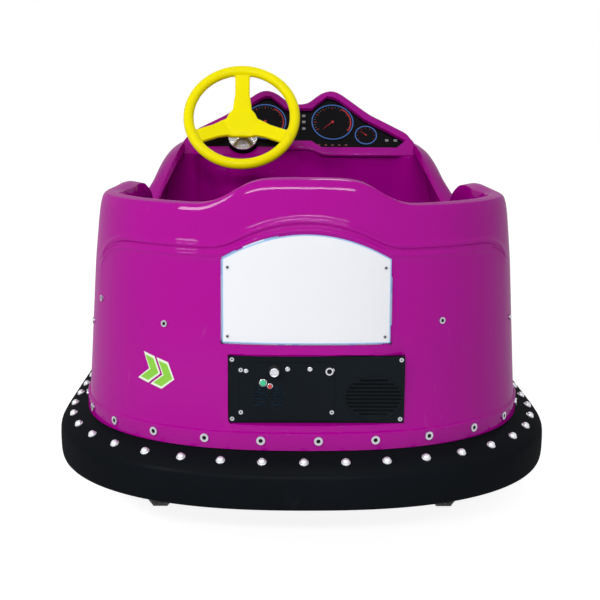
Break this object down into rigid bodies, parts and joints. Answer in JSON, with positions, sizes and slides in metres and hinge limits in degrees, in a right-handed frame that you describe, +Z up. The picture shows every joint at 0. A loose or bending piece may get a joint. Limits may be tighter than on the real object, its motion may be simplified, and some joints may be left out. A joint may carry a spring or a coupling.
{
  "type": "battery bumper car",
  "caption": "Two-seat battery bumper car with a moulded body, rubber bumper ring, steerable front drive wheel, rear wheels, steering wheel and blank rear sign.",
  "frame": {"origin": "on the ground, in the middle of the car's length and width", "axes": "+X to the car's right, +Y forward, +Z up"},
  "size_m": [1.15, 1.85, 1.023],
  "materials": {
    "body_gloss": "glossy gel coat",
    "bumper_rubber": "satin moulded rubber",
    "frame_paint": "satin black paint",
    "zinc_steel": "zinc plated",
    "panel_black": "satin black",
    "wheel_yellow": "glossy moulded plastic",
    "pad_vinyl": "soft vinyl",
    "sign_white": "smooth",
    "gauge_ring": "smooth",
    "gauge_face": "smooth",
    "battery_case": "moulded",
    "polished_cap": "turned and polished",
    "tyre_rubber": "solid rubber"
  },
  "bodies": {
    "chassis": {"rubber_bumper": "bumper_rubber", "bumper_rail": "frame_paint", "heel_shell": "body_gloss", "toe_shell": "body_gloss", "dash_cowl": "body_gloss", "dash_panel": "panel_black", "gauge_rings": "gauge_ring", "gauge_faces": "gauge_face", "knee_panel": "body_gloss", "floor_pan": "frame_paint", "seat_bench": "body_gloss", "seat_cushion": "pad_vinyl", "back_cushion": "pad_vinyl", "sign_plate": "sign_white", "control_panel": "panel_black", "panel_knob": "zinc_steel", "panel_buttons": "zinc_steel", "column_cap": "polished_cap", "column_tube": "zinc_steel", "pedal": "zinc_steel", "pedal_bracket": "frame_paint", "frame_rails": "frame_paint", "frame_cross_tubes": "frame_paint", "battery_tray": "frame_paint", "battery_pack": "battery_case", "drive_bridge": "frame_paint", "drive_bearing": "zinc_steel", "rear_axle": "zinc_steel", "axle_blocks": "frame_paint"},
    "steering": {"steering_wheel": "wheel_yellow", "steering_shaft": "zinc_steel"},
    "drive_fork": {"drive_fork": "frame_paint", "drive_axle": "zinc_steel"},
    "drive_wheel": {"drive_hub": "zinc_steel", "drive_tyre": "tyre_rubber"},
    "rear_wheel_left": {"rear_rim_left": "zinc_steel", "rear_tyre_left": "tyre_rubber"},
    "rear_wheel_right": {"rear_rim_right": "zinc_steel", "rear_tyre_right": "tyre_rubber"}
  },
  "joints": [
    {"name": "fork_swivel", "type": "hinge", "parent": "chassis", "child": "drive_fork", "pos_m": [0, 0.6, 0.26], "axis": [0, 0, 1], "range_deg": [-180, 180]},
    {"name": "steering_turn", "type": "hinge", "parent": "chassis", "child": "steering", "pos_m": [-0.165, 0.15, 0.88], "axis": [0, -0.848, 0.5299], "range_deg": [-180, 180]},
    {"name": "drive_spin", "type": "hinge", "parent": "drive_fork", "child": "drive_wheel", "pos_m": [0, 0.6, 0.125], "axis": [-1, 0, 0], "continuous": true},
    {"name": "rear_left_spin", "type": "hinge", "parent": "chassis", "child": "rear_wheel_left", "pos_m": [-0.33, -0.56, 0.1], "axis": [-1, 0, 0], "continuous": true},
    {"name": "rear_right_spin", "type": "hinge", "parent": "chassis", "child": "rear_wheel_right", "pos_m": [0.33, -0.56, 0.1], "axis": [-1, 0, 0], "continuous": true}
  ],
  "couplings": [
    {"joint": "steering_turn", "follows": "fork_swivel", "ratio": 1}
  ]
}
